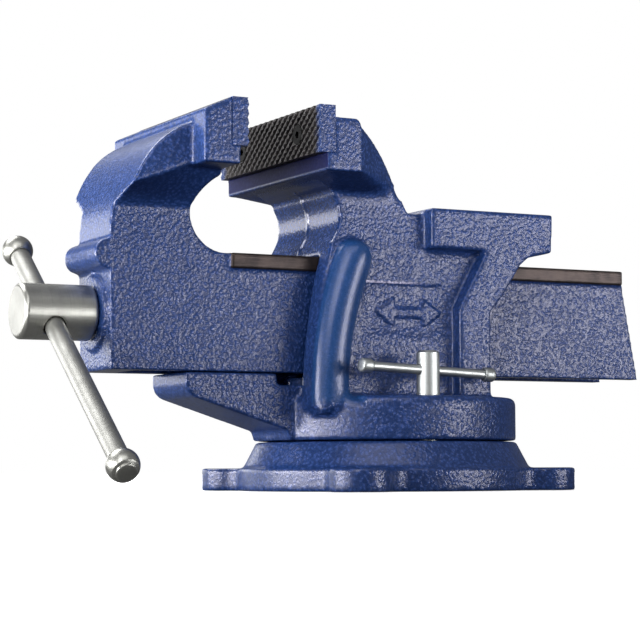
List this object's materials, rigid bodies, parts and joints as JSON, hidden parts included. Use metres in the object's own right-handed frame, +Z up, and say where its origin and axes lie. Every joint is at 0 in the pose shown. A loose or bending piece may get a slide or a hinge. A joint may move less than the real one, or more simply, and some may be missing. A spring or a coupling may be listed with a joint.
{
  "type": "bench vise",
  "caption": "Swivel bench vise with knurled jaw plates, sliding front jaw on a square beam, turning screw with sliding bar handle, and a flat rear anvil.",
  "frame": {"origin": "swivel axis at the underside of the base", "axes": "+Z up along the swivel axis, +X along the screw from the handle towards the anvil, Y across the jaws"},
  "size_m": [0.3018, 0.1607, 0.1636],
  "materials": {
    "blue_enamel": "hammered enamel",
    "jaw_steel": "blackened, knurled",
    "turned_steel": "satin turned",
    "bright_steel": "bright zinc",
    "black_screw": "black oxide",
    "nut_iron": "as cast, greased"
  },
  "bodies": {
    "base": {"swivel_base": "blue_enamel"},
    "vise_body": {"fixed_body": "blue_enamel", "fixed_jaw_plate": "jaw_steel", "fixed_jaw_screws": "black_screw", "lead_nut": "nut_iron", "pivot_bolt": "turned_steel", "pivot_washer": "turned_steel", "near_clamp_nut": "nut_iron", "far_clamp_nut": "nut_iron"},
    "slide": {"moving_jaw": "blue_enamel", "moving_jaw_plate": "jaw_steel", "moving_jaw_screws": "black_screw"},
    "spindle": {"lead_screw": "turned_steel", "thrust_collar": "turned_steel", "collar_pin": "turned_steel"},
    "handle": {"handle_bar": "turned_steel", "handle_knob_lower": "turned_steel", "handle_knob_upper": "turned_steel"},
    "near_lock": {"near_lock_screw": "bright_steel"},
    "far_lock": {"far_lock_screw": "bright_steel"},
    "near_bar": {"near_lock_bar": "bright_steel", "near_lock_knobs": "bright_steel"},
    "far_bar": {"far_lock_bar": "bright_steel", "far_lock_knobs": "bright_steel"}
  },
  "joints": [
    {"name": "swivel", "type": "hinge", "parent": "base", "child": "vise_body", "pos_m": [0, 0, 0], "axis": [0, 0, 1], "continuous": true},
    {"name": "jaw_slide", "type": "slide", "parent": "vise_body", "child": "slide", "axis": [1, 0, 0], "range_m": [-0.07, 0.0325]},
    {"name": "screw_turn", "type": "hinge", "parent": "slide", "child": "spindle", "pos_m": [-0.15, 0, 0.0755], "axis": [1, 0, 0], "continuous": true},
    {"name": "handle_slide", "type": "slide", "parent": "spindle", "child": "handle", "axis": [0, 0.7944, 0.6074], "range_m": [-0.029, 0.087]},
    {"name": "near_lock_turn", "type": "hinge", "parent": "vise_body", "child": "near_lock", "pos_m": [-0.0052, -0.047, 0], "axis": [0, 0, 1], "range_deg": [-8, 4]},
    {"name": "near_bar_slide", "type": "slide", "parent": "near_lock", "child": "near_bar", "axis": [0.9967, 0.0697, -0.0419], "range_m": [-0.023, 0.023]},
    {"name": "far_lock_turn", "type": "hinge", "parent": "vise_body", "child": "far_lock", "pos_m": [-0.0052, 0.047, 0], "axis": [0, 0, 1], "range_deg": [-4, 8]},
    {"name": "far_bar_slide", "type": "slide", "parent": "far_lock", "child": "far_bar", "axis": [0.9967, -0.0697, -0.0419], "range_m": [-0.023, 0.023]}
  ],
  "couplings": [
    {"joint": "screw_turn", "follows": "jaw_slide", "rad_per_m": 1570.8}
  ]
}
